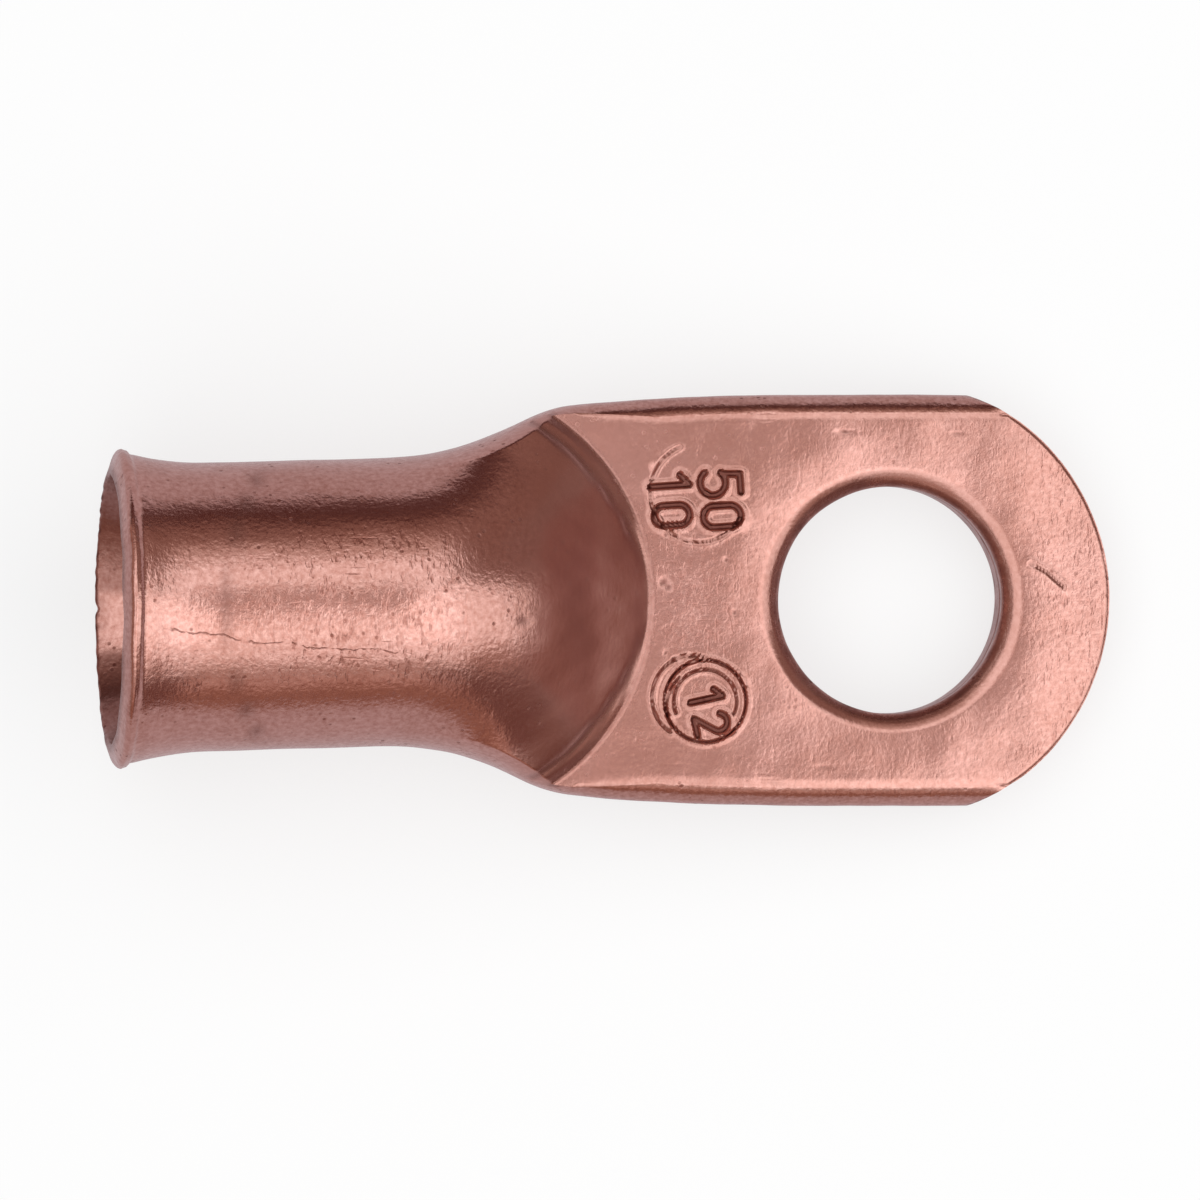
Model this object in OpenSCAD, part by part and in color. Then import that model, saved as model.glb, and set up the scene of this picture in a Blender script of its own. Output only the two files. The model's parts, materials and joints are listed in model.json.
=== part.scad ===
// Tubular copper cable lug: one length of heavy-wall tube, flared at the mouth and
// pressed flat into a palm with a punched stud hole and a rounded end.
// X runs along the cable, Y across the palm and Z up through the stud hole.
// The origin is the centre of the stud hole on the palm's underside. Lengths are in mm.

/* [Tube] */
// Diameter of the bore that takes the stripped cable
bore_d = 11.1; // [8:0.1:13]
// Thickness of the tube wall
tube_wall = 1.4; // [0.9:0.1:2]
// Length of round tube, from the mouth to where the pressing starts
barrel_len = 12.8; // [9:0.1:30]

/* [Flared mouth] */
// How far the rim stands out from the barrel, on the radius
flare_rise = 0.7; // [0.3:0.05:1.4]
// Length of the flare along the barrel
flare_len = 4.8; // [3:0.1:7]
// Thickness left at the flared rim
rim_wall = 1.2; // [0.7:0.05:1.4]
// Broken edge on each side of the rim
rim_edge = 0.15; // [0.05:0.05:0.3]

/* [Pressed shoulder] */
// Length over which the round tube goes flat, along the middle
press_len = 12.9; // [9:0.1:18]
// Angle of the slope that the dies press into the top and bottom
slope_angle = 32; // [26:1:45]
// Angle at which the shoulders spread to the palm, seen from above
shoulder_angle = 26; // [20:1:35]
// Radius of the crescent where the slope meets the palm
crease_r = 10.4; // [10.2:0.1:16]
// Softening of the inside corner along the crescent
crease_blend = 0.35; // [0.1:0.05:0.6]

/* [Palm] */
// Width of the palm across the stud hole
palm_w = 19.6; // [16:0.1:20]
// How much each side of the palm draws in towards the shoulders
side_draw = 0.7; // [0:0.1:1.2]
// Thickness of the palm, the two walls pressed together
palm_t = 2.8; // [2:0.1:4]
// Distance from the stud hole to the crescent
hole_to_crease = 11.6; // [9:0.1:20]
// Radius of the trimmed end, centred on the stud hole
end_r = 10.5; // [10.2:0.1:14]
// Width of the rounded fold along each side of the palm
fold_w = 0.95; // [0.4:0.05:1.4]

/* [Stud hole] */
// Diameter of the stud
stud_d = 10; // [6:0.5:11]
// Clearance around the stud, on the radius
stud_clearance = 0.4; // [0.1:0.05:0.5]
// Radius rolled over by the punch where it enters the palm
entry_r = 0.5; // [0.2:0.05:0.9]

/* [Hidden] */

bore_r = bore_d / 2;
barrel_r = bore_r + tube_wall;
hole_r = stud_d / 2 + stud_clearance;
axis_z = palm_t / 2;

// Width of the fold right at the corner, and the length over which it widens
corner_fold = 0.2;
fold_run = 5;

// Stations along X: the mouth, the end of the round barrel, the crescent on the middle
// line, and where the crescent runs out at the sides
crease_x = -hole_to_crease;
press_x = crease_x - press_len;
mouth_x = press_x - barrel_len;
corner_x = crease_x - sagitta(crease_r, palm_w / 2 - side_draw - corner_fold);

// Depth by which the pressed end tucks into the barrel, and how far it starts inside it
tuck = 0.02;
lap = 0.6;
// Spans over which the outline and the top line round from one run to the next
shoulder_blend = 1.5;
corner_blend = 0.4;
crown_blend = 2.4;
// Half height at which the two walls meet at the blind end of the bore
seam = 0.03;
// Length of waste that is trimmed off the end, and slack for cuts
trim = 1;
slack = 1;

// Facets: points along the fold and along the top in a quarter section, and sections
// along the press, the crescent's inside corner and the palm
fold_n = 6;
top_n = 11;
press_n = 22;
crease_n = 3;
palm_n = 7;
// Share of a quarter turn of the round tube that becomes the fold
fold_turn = 26;
// How far round the fold bulges before it meets the flat
fold_bulge = 65;

function lerp(a, b, t) = a + (b - a) * t;
function sagitta(r, half_chord) = r - sqrt(max(r * r - half_chord * half_chord, 0));
// The larger and the smaller of two values, rounded over a span k
function soft_max(a, b, k) = max(a, b) + pow(max(k - abs(a - b), 0), 2) / (4 * k);
function soft_min(a, b, k) = -soft_max(-a, -b, k);

// Half width of the outside, seen from above
function shoulder_line(x) =
    palm_w / 2 - side_draw - corner_fold / 2 + (x - corner_x) * tan(shoulder_angle);
function side_line(x) = palm_w / 2 - side_draw * pow(max(x / corner_x, 0), 3);
function half_width(x) =
    soft_min(soft_max(barrel_r, shoulder_line(x), shoulder_blend), side_line(x), corner_blend);

// Half height of the outside and of the bore along the middle line
function slope_line(x) = palm_t / 2 + (crease_x - x) * tan(slope_angle);
function half_height(x) =
    soft_max(soft_min(barrel_r, slope_line(x), crown_blend), palm_t / 2, crease_blend);
function bore_height(x) =
    soft_min(bore_r, slope_line(x) - tube_wall / cos(slope_angle), crown_blend);
// Where the bore's top and bottom come together
blind_x = crease_x + (palm_t / 2 - tube_wall / cos(slope_angle) - seam) / tan(slope_angle);

// A section bows towards the palm, like the crescent. It is placed by u: 0 is the round
// tube, 1 is the crescent and 2 is past the end. These give X at the sides and the middle.
side_end_x = end_r + trim - sagitta(end_r, palm_w / 2);
function side_x(u) = u <= 1 ? lerp(press_x, corner_x, u) : lerp(corner_x, side_end_x, u - 1);
function middle_x(u) = u <= 1 ? lerp(press_x, crease_x, u) : lerp(crease_x, end_r + trim, u - 1);

// Quarter section from the side to the middle, as [y, z] shares of half width and height:
// first the round tube, then the flattened one with its fold
function round_share(turn) = [cos(turn), sin(turn)];
function fold_share(turn, fold) =
    let (bulge = fold_bulge * turn / fold_turn)
    turn < fold_turn
        ? [1 - fold * (1 - cos(bulge)) / (1 - cos(fold_bulge)), sin(bulge) / sin(fold_bulge)]
        : [(1 - fold) * cos(turn) / cos(fold_turn), 1];
quarter_turns = concat(
    [for (i = [0:fold_n - 1]) fold_turn * i / fold_n],
    [for (i = [0:top_n]) lerp(fold_turn, 90, i / top_n)]
);
quarter_n = len(quarter_turns) - 1;

// Width of the fold at a section
function fold_width(u) = lerp(corner_fold, fold_w, min(max((side_x(u) - corner_x) / fold_run, 0), 1));
function section_share(turn, u, half_w) =
    lerp(round_share(turn), fold_share(turn, fold_width(u) / half_w), min(u * u, 1));

// One whole section as points: the four quarters are mirror images
function section(u, half_w, half_h) =
    let (
        middle = middle_x(u),
        bow = middle - side_x(u),
        quarter = [for (t = quarter_turns) section_share(t, u, half_w)],
        ring = [for (i = [0:4 * quarter_n - 1])
            let (
                q = floor(i / quarter_n),
                k = i % quarter_n,
                share = quarter[q % 2 == 0 ? k : quarter_n - k]
            )
            [(q == 0 || q == 3 ? 1 : -1) * share[0], (q < 2 ? 1 : -1) * share[1]]]
    )
    [for (p = ring)
        [
            middle - bow * sagitta(crease_r, p[0] * half_w) / sagitta(crease_r, half_w),
            p[0] * half_w,
            axis_z + p[1] * half_h
        ]];

// Skin over a list of sections, with both ends closed by strips from top to bottom
module skin(sections) {
    n = len(sections[0]);
    last = (len(sections) - 1) * n;
    sides = [for (s = [0:len(sections) - 2], i = [0:n - 1])
        let (a = s * n + i, b = s * n + (i + 1) % n)
        each [[a, b + n, b], [a, a + n, b + n]]];
    start = [for (i = [0:n / 2 - 1])
        let (j = (n - i) % n, k = n - i - 1)
        each (i == 0 ? [[0, 1, k]] : i == n / 2 - 1 ? [[i, k, j]] : [[i, k, j], [i, i + 1, k]])];
    end = [for (f = start) [f[0] + last, f[2] + last, f[1] + last]];
    polyhedron(points = [for (s = sections) each s], faces = concat(sides, start, end));
}

function shift(points, dx) = [for (p = points) [p[0] + dx, p[1], p[2]]];

// The pressed end: shoulders, crescent and palm, still with the waste past the end
module pressed_blank() {
    near = crease_blend / tan(slope_angle);
    before = 1 - near / press_len;
    after = 1 + near / (end_r + trim - crease_x);
    stations = concat(
        [for (i = [1:press_n]) before * i / press_n],
        [for (i = [1:crease_n]) lerp(before, 1, i / crease_n)],
        [for (i = [1:crease_n]) lerp(1, after, i / crease_n)],
        [for (i = [1:palm_n]) lerp(after, 2, i / palm_n)]
    );
    first = section(0, barrel_r - tuck, barrel_r - tuck);
    skin(concat(
        [shift(first, -lap), first],
        [for (u = stations) section(u, half_width(side_x(u)), half_height(middle_x(u)))]
    ));
}

// Inside of the pressed end, down to where the two walls meet
module pressed_cavity() {
    deepest = (blind_x - press_x) / press_len;
    first = section(0, bore_r - tuck, bore_r - tuck);
    skin(concat(
        [shift(first, -lap), first],
        [for (i = [1:press_n])
            let (u = deepest * i / press_n)
            section(u, half_width(side_x(u)) - tube_wall, bore_height(middle_x(u)))]
    ));
}

// Radius of a flared wall at a distance from the mouth
function flare_r(base_r, rise, s) =
    let (arc_r = (flare_len * flare_len + rise * rise) / (2 * rise))
    base_r + arc_r - sqrt(arc_r * arc_r - pow(flare_len - s, 2));
function flare_wall(base_r, rise, s0, steps) =
    [for (i = [0:steps]) let (s = lerp(s0, flare_len, i / steps)) [flare_r(base_r, rise, s), s]];

module along_cable() {
    translate([mouth_x, 0, axis_z])
        rotate([0, 90, 0])
            rotate_extrude($fn = 96)
                children();
}

module barrel() {
    rim_r = flare_r(barrel_r, flare_rise, 0);
    along_cable()
        polygon(concat(
            [[0, 0], [rim_r - rim_edge, 0]],
            flare_wall(barrel_r, flare_rise, rim_edge, 8),
            [[barrel_r, barrel_len], [0, barrel_len]]
        ));
}

module cable_bore() {
    rise = flare_rise + tube_wall - rim_wall;
    rim_r = flare_r(bore_r, rise, 0);
    along_cable()
        polygon(concat(
            [[0, -slack], [rim_r + rim_edge, -slack], [rim_r + rim_edge, 0]],
            flare_wall(bore_r, rise, rim_edge, 8),
            [[bore_r, barrel_len], [0, barrel_len]]
        ));
}

// Everything inside the trimmed end: the arc is a true cylinder about the stud hole
module trim_line() {
    translate([0, 0, -slack])
        cylinder(r = end_r, h = palm_t + 2 * slack, $fn = 96);
    translate([press_x - 2 * lap, -palm_w, axis_z - 2 * barrel_r])
        cube([-press_x + 2 * lap, 2 * palm_w, 4 * barrel_r]);
}

// Straight punched wall with the palm's top edge rolled into it
module stud_hole() {
    translate([0, 0, -slack])
        cylinder(r = hole_r, h = palm_t + 2 * slack, $fn = 96);
    rotate_extrude($fn = 96)
        difference() {
            translate([0, palm_t - entry_r])
                square([hole_r + entry_r, entry_r + slack]);
            translate([hole_r + entry_r, palm_t - entry_r])
                circle(r = entry_r, $fn = 48);
        }
}

module cable_lug() {
    color("#bb7a66")
        difference() {
            union() {
                barrel();
                intersection() {
                    pressed_blank();
                    trim_line();
                }
            }
            cable_bore();
            pressed_cavity();
            stud_hole();
        }
}

cable_lug();
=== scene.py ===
"""Copper cable lug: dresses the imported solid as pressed, punched and tumbled copper tube.

The skin follows the solid's own formulas on a finer grid, and adds what the solid leaves
out: the struck marks, the dish round the stud hole, the broken edges, the barrel's lean and
light wear. Lengths are in millimetres until the mesh is made, angles are in degrees, and X,
Y and Z are the frame's own.
"""

import json

import bmesh
import bpy
import numpy as np
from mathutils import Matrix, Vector


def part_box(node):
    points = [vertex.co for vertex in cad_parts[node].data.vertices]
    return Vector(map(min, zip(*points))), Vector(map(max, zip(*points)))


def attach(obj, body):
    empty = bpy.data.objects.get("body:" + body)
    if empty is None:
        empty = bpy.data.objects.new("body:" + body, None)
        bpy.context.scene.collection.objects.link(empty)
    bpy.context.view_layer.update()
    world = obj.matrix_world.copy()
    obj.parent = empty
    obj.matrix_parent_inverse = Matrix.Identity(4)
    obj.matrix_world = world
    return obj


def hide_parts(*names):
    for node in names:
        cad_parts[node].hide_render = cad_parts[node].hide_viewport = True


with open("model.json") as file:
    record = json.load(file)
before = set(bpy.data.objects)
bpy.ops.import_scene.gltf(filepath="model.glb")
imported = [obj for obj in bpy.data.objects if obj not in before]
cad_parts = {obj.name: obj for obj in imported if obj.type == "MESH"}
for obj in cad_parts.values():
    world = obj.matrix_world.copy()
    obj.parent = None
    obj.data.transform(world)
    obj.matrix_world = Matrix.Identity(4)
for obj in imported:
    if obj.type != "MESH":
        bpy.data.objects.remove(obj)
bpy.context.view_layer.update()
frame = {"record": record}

MM = 0.001


def mount_size(name, key):
    """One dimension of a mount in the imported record, in millimetres."""
    return next(m["dims"][key] for m in frame["record"]["mounts"] if m["name"] == name)


# ---------------------------------------------------------------- sizes of the lug
low, high = (np.array(corner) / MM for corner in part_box("cable_lug"))
MOUTH_X = low[0]
END_R = high[0]
PALM_W = high[1] - low[1]
AXIS_Z = (low[2] + high[2]) / 2
PALM_T = 2 * AXIS_Z
HOLE_R = mount_size("stud_hole", "r_mm")
BORE_R = mount_size("cable_bore", "r_mm")
ENTRY_R = PALM_T - mount_size("stud_hole", "length_mm")

# The record doesn't hold the rest. They are the solid's own sizes, apart from the wall, the
# flare and the crescent's softening, which are fitted to this one lug.
TUBE_WALL = 1.29  # of the round barrel
RIM_WALL = 1.2  # left at the flared rim
FLARE_RISE = 0.81  # how far the rim stands out from the barrel
FLARE_LEN = 4.8
BARREL_LEN = 12.8  # from the mouth to where the press begins
PRESS_LEN = 12.9  # from there to the crescent, along the middle
SLOPE = 32  # of the pressed slope
SHOULDER = 26  # at which the shoulders spread to the palm
CREASE_R = 10.4  # of the crescent
CREASE_BLEND = 0.12  # softening of the crescent's inside corner
SHOULDER_BLEND = 1.5  # rounding where the shoulders leave the barrel
CORNER_BLEND = 0.4  # rounding where the shoulders meet the palm's sides
CROWN_BLEND = 2.4  # rounding where the slope leaves the barrel's top
SIDE_DRAW = 0.7  # how far the palm's sides draw in towards the shoulders
FOLD_W = 0.95  # rounded fold along each side of the palm
CORNER_FOLD = 0.2  # the fold's width at the corner, where it starts
FOLD_RUN = 5.0  # length over which the fold widens
FOLD_TURN = 26  # the part of a quarter turn of tube that becomes the fold
FOLD_BULGE = 65  # how far round the fold bulges before it meets the flat
LIP_R = 0.22  # rounding of the rim's two edges

# What sets this one lug apart: its rim was cut at a slant, the palm sprang up in its middle,
# the barrel leans, and a hairline runs along the barrel
RIM_SLANT = 18
PALM_BOW = 0.24
BOW_X = -2.0
LEAN = 1.5
LEAN_X = -20.5  # where the lean begins
LEAN_BLEND = 5  # length over which the lean begins
HAIRLINE_Y = -5.0  # where the hairline would cross the middle of the stud hole
HAIRLINE_SLOPE = -0.1

BARREL_R = BORE_R + TUBE_WALL
PRESS_X = MOUTH_X + BARREL_LEN
CREASE_X = PRESS_X + PRESS_LEN


def sin(degrees):
    """Sine of an angle in degrees."""
    return np.sin(np.radians(degrees))


def cos(degrees):
    """Cosine of an angle in degrees."""
    return np.cos(np.radians(degrees))


def tan(degrees):
    """Tangent of an angle in degrees."""
    return np.tan(np.radians(degrees))


def lerp(a, b, t):
    """The value a share t of the way from a to b."""
    return a + (b - a) * t


def sagitta(r, half_chord):
    """Rise of an arc of radius r over half of its chord: r less the root of r^2 - c^2."""
    return r - np.sqrt(np.maximum(r * r - half_chord * half_chord, 0))


def soft_max(a, b, k):
    """The larger of two values, with the corner between them rounded over a span k."""
    return np.maximum(a, b) + np.maximum(k - np.abs(a - b), 0) ** 2 / (4 * k)


def soft_min(a, b, k):
    """The smaller of two values, rounded in the same way."""
    return -soft_max(-a, -b, k)


def smooth(low_end, high_end, x):
    """0 below low_end, 1 above high_end, and a smooth rise between them."""
    t = np.clip((x - low_end) / (high_end - low_end), 0, 1)
    return t * t * (3 - 2 * t)


CORNER_X = CREASE_X - sagitta(CREASE_R, PALM_W / 2 - SIDE_DRAW - CORNER_FOLD)


def half_width(x):
    """Outline seen from above: barrel, then a straight shoulder, then the drawn-in side."""
    shoulder = PALM_W / 2 - SIDE_DRAW - CORNER_FOLD / 2 + (x - CORNER_X) * tan(SHOULDER)
    side = PALM_W / 2 - SIDE_DRAW * np.maximum(x / CORNER_X, 0) ** 3
    return soft_min(soft_max(BARREL_R, shoulder, SHOULDER_BLEND), side, CORNER_BLEND)


def slope_line(x):
    """Height over the axis of the pressed slope: a straight line through the crease."""
    return PALM_T / 2 + (CREASE_X - x) * tan(SLOPE)


def half_height(x):
    """Top line along the middle: barrel, then the pressed slope, then the palm."""
    crown = soft_min(BARREL_R, slope_line(x), CROWN_BLEND)
    return soft_max(crown, PALM_T / 2, CREASE_BLEND)


def bore_height(x):
    """The bore's top line: the outside less one wall measured square to the slope."""
    return soft_min(BORE_R, slope_line(x) - TUBE_WALL / cos(SLOPE), CROWN_BLEND)


def fold_width(side_x):
    """Width of the rounded fold along the palm's side, narrow at the corner."""
    return lerp(CORNER_FOLD, FOLD_W, np.clip((side_x - CORNER_X) / FOLD_RUN, 0, 1))


def fold_share(turn):
    """Across the fold: how far in from the side, and how far up, as shares from 0 to 1."""
    bulge = FOLD_BULGE * turn / FOLD_TURN
    return (1 - cos(bulge)) / (1 - cos(FOLD_BULGE)), sin(bulge) / sin(FOLD_BULGE)


# ---------------------------------------------------------------- stations of the grids
# The pressed sections bow like the crescent. The last one, where the crescent's inside
# corner has run out into the flat palm, is shared by the tube's grid and the palm's.
RUN_OUT = CREASE_BLEND / tan(SLOPE)
FLAT_X = CREASE_X + RUN_OUT
FLAT_SIDE_X = CORNER_X + RUN_OUT
FLAT_W = half_width(FLAT_SIDE_X)
FLAT_FOLD = fold_width(FLAT_SIDE_X)
EDGE_Y = FLAT_W - FLAT_FOLD

FOLD_TURNS = np.array([0, 0.7, 1.6, 3.5, 7, 11, 16, 21, 24.5])


def bowed_x(middle_x, side_x, y, half_w):
    """X on a bowed section: a crescent arc from middle_x in the middle to side_x."""
    return middle_x - (middle_x - side_x) * sagitta(CREASE_R, y) / sagitta(CREASE_R, half_w)


EDGE_X = bowed_x(FLAT_X, FLAT_SIDE_X, EDGE_Y, FLAT_W)
EDGE_END_Y = PALM_W / 2 - FOLD_W
EDGE_END_X = np.sqrt(END_R**2 - EDGE_END_Y**2)
CORNER_ANGLE = np.degrees(np.arctan2(EDGE_Y, EDGE_X))
END_ANGLE = np.degrees(np.arctan2(EDGE_END_Y, EDGE_END_X))


def spaced(start, stop, step):
    """Even stations from start up to, but not including, stop, about a step apart."""
    return np.linspace(start, stop, max(2, round((stop - start) / step)) + 1)[:-1]


# Sections along each stretch of tube, out from the crescent to the mouth and in to the blind
# end
CRESCENT_RINGS = 9
PRESS_RINGS = 46
BARREL_RINGS = 14
FLARE_RINGS = 10
BEAD_RINGS = 9
LIP_RINGS = 6
BORE_FLARE_RINGS = 9
BORE_RINGS = 5
BLIND_RINGS = 16

# Rows along each stretch of the palm, in along the underside, up through the hole and out
# along the top
UNDERSIDE_ROWS = 8
ENTRY_ROWS = 8
BRIM_ROWS = 9
PLAIN_ROWS = 9
MARKED_ROWS = 69
OUTER_ROWS = 13
# Points along a side of the palm, from which its angles about the stud hole are looked up,
# and the slack with which angles are compared
SIDE_POINTS = 4000
ANGLE_SLACK = 1e-9
# Distance within which the edges that two grids share are welded, and the angle between
# faces past which an edge shows sharp
WELD = 0.002
SHARP_ANGLE = 48

# Places on the last bowed section, evenly along its arc from the corner to the middle
CRESCENT_STEPS = 76
crescent_y = CREASE_R * np.sin(np.linspace(np.arcsin(EDGE_Y / CREASE_R), 0, CRESCENT_STEPS + 1))
crescent_x = bowed_x(FLAT_X, FLAT_SIDE_X, crescent_y, FLAT_W)

# Angles about the stud hole from the rounded end round to the crescent's middle. They lie
# close together where the marks are struck.
half_turn = np.concatenate(
    [
        spaced(0, 18, 0.9),
        spaced(18, END_ANGLE, 2.0),
        spaced(END_ANGLE, 128, 2.2),
        spaced(128, CORNER_ANGLE, 0.42),
        np.degrees(np.arctan2(crescent_y, crescent_x)),
    ]
)
AROUND = np.concatenate([half_turn, 360 - half_turn[-2:0:-1]])
SIGNED = np.where(AROUND > 180, AROUND - 360, AROUND)

top_turns = np.degrees(np.arccos(crescent_y * cos(FOLD_TURN) / EDGE_Y))
QUARTER = np.concatenate([FOLD_TURNS, top_turns])


def whole_ring(quarter):
    """Four mirrored quarters, from the +Y side over the top and round underneath."""
    y, z = quarter[:, 0], quarter[:, 1]
    top = np.stack([np.concatenate([y, -y[-2::-1]]), np.concatenate([z, z[-2::-1]])], axis=1)
    bottom = top[-2:0:-1] * [1, -1]
    return np.concatenate([top, bottom])


def section_shares(press, half_w, side_x):
    """Section between round (press 0) and flat with folded sides (press 1)."""
    turn = QUARTER
    in_share, up_share = fold_share(np.minimum(turn, FOLD_TURN))
    fold = fold_width(side_x) / half_w
    past_fold = (1 - fold) * cos(turn) / cos(FOLD_TURN)
    flat_y = np.where(turn < FOLD_TURN, 1 - fold * in_share, past_fold)
    flat = np.stack([flat_y, up_share], axis=1)
    round_tube = np.stack([cos(turn), sin(turn)], axis=1)
    return whole_ring(lerp(round_tube, flat, press))


U_FLAT = RUN_OUT / PRESS_LEN


def pressed_section(u, half_w, half_h):
    """Bowed section as points: u is 0 at the round tube, 1 at the crescent and 1 + U_FLAT
    where the crescent has run out into the flat."""
    if u <= 1:
        middle_x, side_x = lerp(PRESS_X, CREASE_X, u), lerp(PRESS_X, CORNER_X, u)
    else:
        past = (u - 1) / U_FLAT
        middle_x, side_x = lerp(CREASE_X, FLAT_X, past), lerp(CORNER_X, FLAT_SIDE_X, past)
    w, h = half_w(side_x), half_h(middle_x)
    share = section_shares(min(u * u, 1), w, side_x)
    y = share[:, 0] * w
    x = bowed_x(middle_x, side_x, y, w)
    return np.stack([x, y, AXIS_Z + share[:, 1] * h], axis=1)


def round_section(x, r):
    """Circle of radius r about the tube's axis."""
    ring = whole_ring(np.stack([cos(QUARTER), sin(QUARTER)], axis=1)) * r
    return np.stack([np.full(len(ring), x), ring[:, 0], AXIS_Z + ring[:, 1]], axis=1)


def flare_r(base_r, rise, s):
    """Radius of a flared wall at s from the mouth: an arc that runs out at the barrel."""
    arc_r = (FLARE_LEN**2 + rise**2) / (2 * rise)
    return base_r + arc_r - np.sqrt(arc_r**2 - (FLARE_LEN - s) ** 2)


# Heights of the rows up the stud hole's wall, close together at the seam of the two walls
WALL_Z = [0.12, 0.5, 0.9, 1.2, 1.32, 1.4, 1.48, 1.6, 1.9, 2.3]
# The punch drew the top down by this much at the hole's edge, over this width round it
DRAWN = 0.3
DRAWN_RUN = 0.95
# The marks are struck between these distances from the stud hole's centre
MARKS_FROM_R = 8.0
MARKS_TO_R = 13.1
# A fine bead runs round the flare within this distance of the mouth
BEAD_RUN = 1.2


# ---------------------------------------------------------------- the grids
def tube_grid():
    """Outside from the crescent back to the mouth, over the lip, and in to the blind end."""
    crescent_u = np.linspace(1 + U_FLAT, 1 - U_FLAT, CRESCENT_RINGS)
    press_u = np.linspace(1 - U_FLAT, 0, PRESS_RINGS)[1:]
    rings = [pressed_section(u, half_width, half_height) for u in (*crescent_u, *press_u)]
    barrel_x = np.linspace(PRESS_X, MOUTH_X + FLARE_LEN, BARREL_RINGS)[1:]
    rings += [round_section(x, BARREL_R) for x in barrel_x]
    flare_s = np.linspace(FLARE_LEN, BEAD_RUN, FLARE_RINGS)[1:]
    bead_s = np.linspace(BEAD_RUN, LIP_R, BEAD_RINGS)[1:]
    for s in (*flare_s, *bead_s):
        rings.append(round_section(MOUTH_X + s, flare_r(BARREL_R, FLARE_RISE, s)))

    # Over the lip: a quarter turn, the cut face, and a quarter turn into the bore
    turns = np.linspace(0, 90, LIP_RINGS)
    outer_r = flare_r(BARREL_R, FLARE_RISE, LIP_R) - LIP_R
    for a in turns[1:]:
        rings.append(round_section(MOUTH_X + LIP_R * (1 - sin(a)), outer_r + LIP_R * cos(a)))
    inner_rise = FLARE_RISE + TUBE_WALL - RIM_WALL
    inner_r = flare_r(BORE_R, inner_rise, LIP_R) + LIP_R
    rings.append(round_section(MOUTH_X, lerp(outer_r, inner_r, 0.5)))
    for a in turns[:-1]:
        rings.append(round_section(MOUTH_X + LIP_R * (1 - cos(a)), inner_r - LIP_R * sin(a)))

    # The bore, one wall inside the outside, until its top and bottom meet
    for s in np.linspace(LIP_R, FLARE_LEN, BORE_FLARE_RINGS):
        rings.append(round_section(MOUTH_X + s, flare_r(BORE_R, inner_rise, s)))
    bore_x = np.linspace(MOUTH_X + FLARE_LEN, PRESS_X, BORE_RINGS)[1:]
    rings += [round_section(x, BORE_R) for x in bore_x]
    blind_x = CREASE_X + (PALM_T / 2 - TUBE_WALL / cos(SLOPE)) / tan(SLOPE)
    deepest = (blind_x - PRESS_X) / PRESS_LEN
    for u in np.linspace(0, deepest, BLIND_RINGS)[1:]:
        rings.append(pressed_section(u, lambda x: half_width(x) - TUBE_WALL, bore_height))
    rings[-1][:, 2] = AXIS_Z
    return np.array(rings)


def side_edge(x, corner_x, turn):
    """Half width on the palm's side at a place across the fold, at x along it."""
    side_x = FLAT_SIDE_X + x - corner_x
    return half_width(side_x) - fold_width(side_x) * fold_share(turn)[0]


def palm_outline():
    """Edge of the palm's flat at each angle: rounded end, fold lines and crescent."""
    outline = np.stack([cos(AROUND), sin(AROUND)], axis=1) * END_R
    size = np.abs(SIGNED)
    side = (size > END_ANGLE + ANGLE_SLACK) & (size < CORNER_ANGLE - ANGLE_SLACK)
    x = np.linspace(EDGE_END_X, EDGE_X, SIDE_POINTS)
    y = side_edge(x, EDGE_X, FOLD_TURN)
    side_x = np.interp(size[side], np.degrees(np.arctan2(y, x)), x)
    outline[side, 0] = side_x
    outline[side, 1] = side_edge(side_x, EDGE_X, FOLD_TURN) * np.sign(SIGNED[side])
    crescent = size >= CORNER_ANGLE - ANGLE_SLACK
    arc_x = np.concatenate([crescent_x, crescent_x[-2::-1]])
    arc_y = np.concatenate([crescent_y, -crescent_y[-2::-1]])
    outline[crescent] = np.stack([arc_x, arc_y], axis=1)
    return outline


def palm_grid():
    """Rows round the stud hole: in along the underside, up the wall, over the rolled
    entry, and out along the top as circles and then on to the palm's outline."""
    outline = palm_outline()
    ray = np.stack([cos(AROUND), sin(AROUND)], axis=1)
    # The rows of the underside crowd a little towards the hole
    inwards = np.linspace(1, 0, UNDERSIDE_ROWS) ** 1.3
    rows = [(lerp(ray * HOLE_R, outline, t), 0.0) for t in inwards]
    rows += [(ray * HOLE_R, z) for z in WALL_Z]
    for a in np.linspace(0, 90, ENTRY_ROWS)[1:]:
        rows.append((ray * (HOLE_R + ENTRY_R * (1 - cos(a))), PALM_T - ENTRY_R * (1 - sin(a))))
    # The circles end past the marks, or just short of the outline where that is nearer
    brim_r = HOLE_R + ENTRY_R
    circles_end = np.minimum(MARKS_TO_R, 0.96 * np.hypot(*outline.T))
    brim = np.linspace(brim_r, HOLE_R + DRAWN_RUN, BRIM_ROWS)
    plain = np.linspace(HOLE_R + DRAWN_RUN, MARKS_FROM_R, PLAIN_ROWS)
    marked = np.linspace(MARKS_FROM_R, MARKS_TO_R, MARKED_ROWS)
    circle_r = np.concatenate([brim[1:], plain[1:], marked[1:]])
    for share in (circle_r - brim_r) / (MARKS_TO_R - brim_r):
        rows.append((ray * lerp(brim_r, circles_end, share)[:, None], PALM_T))
    last_circle = ray * circles_end[:, None]
    for share in np.linspace(0, 1, OUTER_ROWS)[1:]:
        rows.append((lerp(last_circle, outline, share), PALM_T))
    return np.array([np.column_stack([xy, np.full(len(xy), z)]) for xy, z in rows])


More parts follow.
